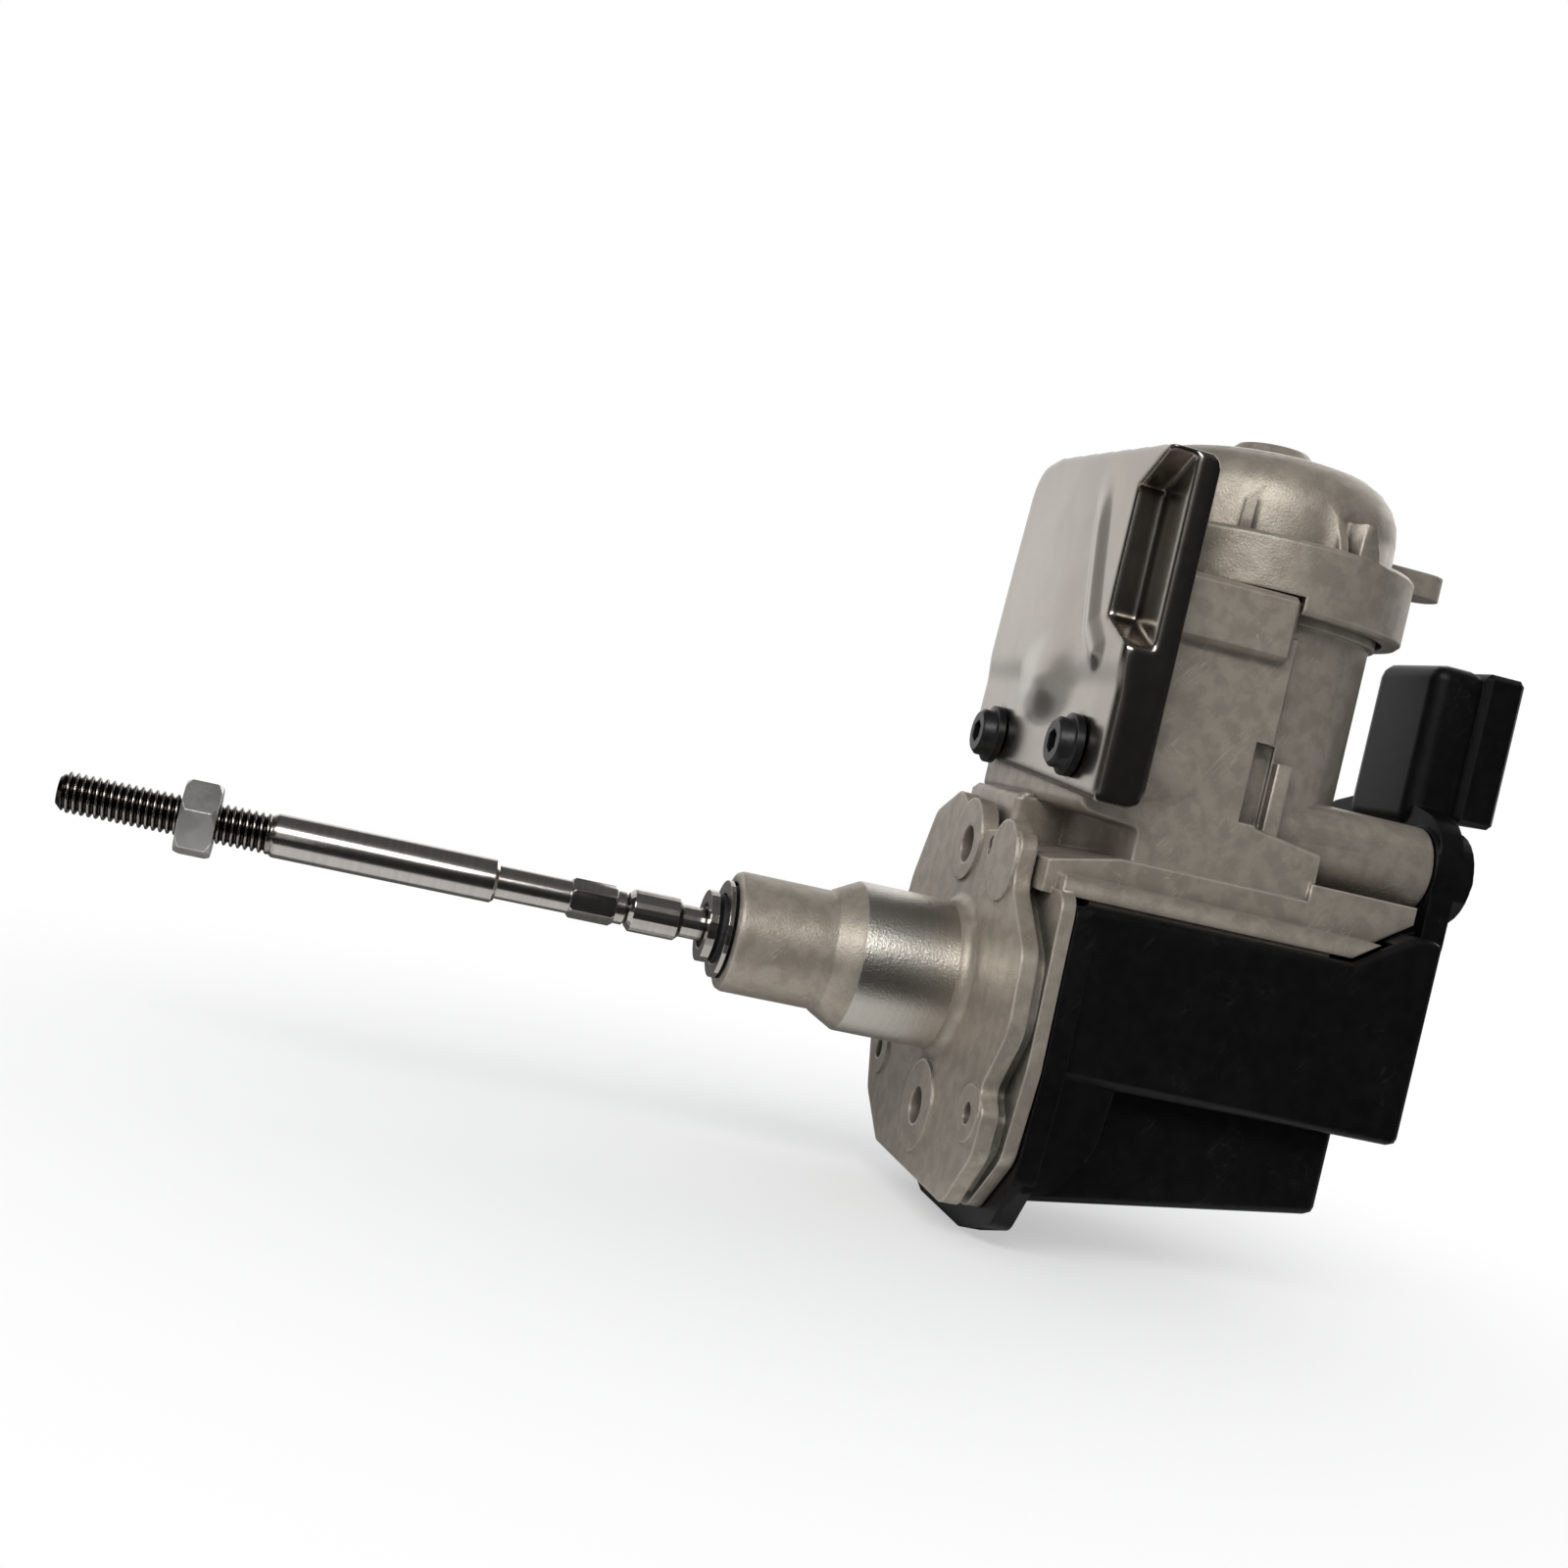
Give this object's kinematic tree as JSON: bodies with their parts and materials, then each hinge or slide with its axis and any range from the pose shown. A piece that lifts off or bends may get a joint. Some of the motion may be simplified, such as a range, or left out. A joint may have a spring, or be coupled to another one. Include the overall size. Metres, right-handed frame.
{
  "type": "electric wastegate actuator",
  "caption": "Electric turbo wastegate actuator: motor housing with heat shield, geared rack drive under a black cover, and an adjustable push rod with lock nut.",
  "frame": {"origin": "where the push rod's axis meets the front face of the mounting flange", "axes": "+X along the rod, away from its threaded tip; +Z along the motor axis, towards the motor's end cap; -Y is the side the picture shows"},
  "size_m": [0.2139, 0.0667, 0.1276],
  "materials": {
    "cast_aluminium": "as-cast, fine grained, machined on the pilot",
    "stainless_sheet": "satin stamped stainless sheet",
    "turned_steel": "bright turned steel",
    "zinc_nut": "light zinc plating",
    "black_screw": "black oxide",
    "black_plastic": "glass filled black moulding",
    "dark_plastic": "phenolic card",
    "gear_polymer": "natural moulded gear polymer",
    "seal_rubber": "moulded seal",
    "bronze": "sintered bronze",
    "copper": "copper segments",
    "magnet": "dark ferrite",
    "lamination": "stacked laminations",
    "carbon": "carbon brush",
    "board": "green circuit board",
    "tinned": "tinned terminal"
  },
  "bodies": {
    "housing": {"gear_housing": "cast_aluminium", "motor_end_cap": "cast_aluminium", "cap_seal_ring": "seal_rubber", "heat_shield": "stainless_sheet", "shield_screw_near": "black_screw", "shield_screw_far": "black_screw", "gear_cover": "black_plastic", "cover_screw_near": "turned_steel", "cover_screw_far": "turned_steel", "lug_screw_near": "turned_steel", "lug_screw_far": "turned_steel", "front_guide_bush": "bronze", "rear_guide_bush": "bronze", "rod_seal": "seal_rubber", "seal_retainer": "turned_steel", "seal_washer": "turned_steel", "motor_can": "turned_steel", "motor_bearing_top": "bronze", "motor_bearing_bottom": "bronze", "field_magnet_left": "magnet", "field_magnet_right": "magnet", "brush_card": "dark_plastic", "motor_brush_near": "carbon", "motor_brush_far": "carbon", "idler_pin": "turned_steel", "idler_clip": "turned_steel", "output_bearing_upper": "bronze", "output_bearing_lower": "bronze", "rack_guide": "gear_polymer", "sensor_board": "board", "hall_sensor": "dark_plastic", "terminal_pin_1": "tinned", "terminal_pin_2": "tinned", "terminal_pin_3": "tinned", "terminal_pin_4": "tinned", "terminal_pin_5": "tinned"},
    "push_rod": {"adjusting_rod": "turned_steel", "lock_nut": "zinc_nut", "rack_rod": "turned_steel", "magnet_holder": "black_plastic", "position_magnet": "magnet"},
    "rotor": {"armature": "lamination", "commutator": "copper", "motor_shaft": "turned_steel", "motor_pinion": "turned_steel"},
    "intermediate": {"intermediate_gear": "gear_polymer"},
    "output": {"output_wheel": "gear_polymer", "output_shaft": "turned_steel"}
  },
  "joints": [
    {"name": "rotor_turn", "type": "hinge", "parent": "housing", "child": "rotor", "pos_m": [0.033, 0, 0.0135], "axis": [0, 0, -1], "range_deg": [0, 849.5]},
    {"name": "rod_slide", "type": "slide", "parent": "housing", "child": "push_rod", "axis": [-1, 0, 0], "range_m": [0, 0.01]},
    {"name": "intermediate_turn", "type": "hinge", "parent": "housing", "child": "intermediate", "pos_m": [0.0391, 0.01436, 0.0122], "axis": [0, 0, 1], "range_deg": [0, 254.9]},
    {"name": "output_turn", "type": "hinge", "parent": "housing", "child": "output", "pos_m": [0.022, 0.0102, 0.008], "axis": [0, 0, 1], "range_deg": [-95.7, 0]}
  ],
  "couplings": [
    {"joint": "rotor_turn", "follows": "rod_slide", "rad_per_m": 1481.5},
    {"joint": "intermediate_turn", "follows": "rod_slide", "rad_per_m": 444.44},
    {"joint": "output_turn", "follows": "rod_slide", "rad_per_m": -166.67}
  ]
}
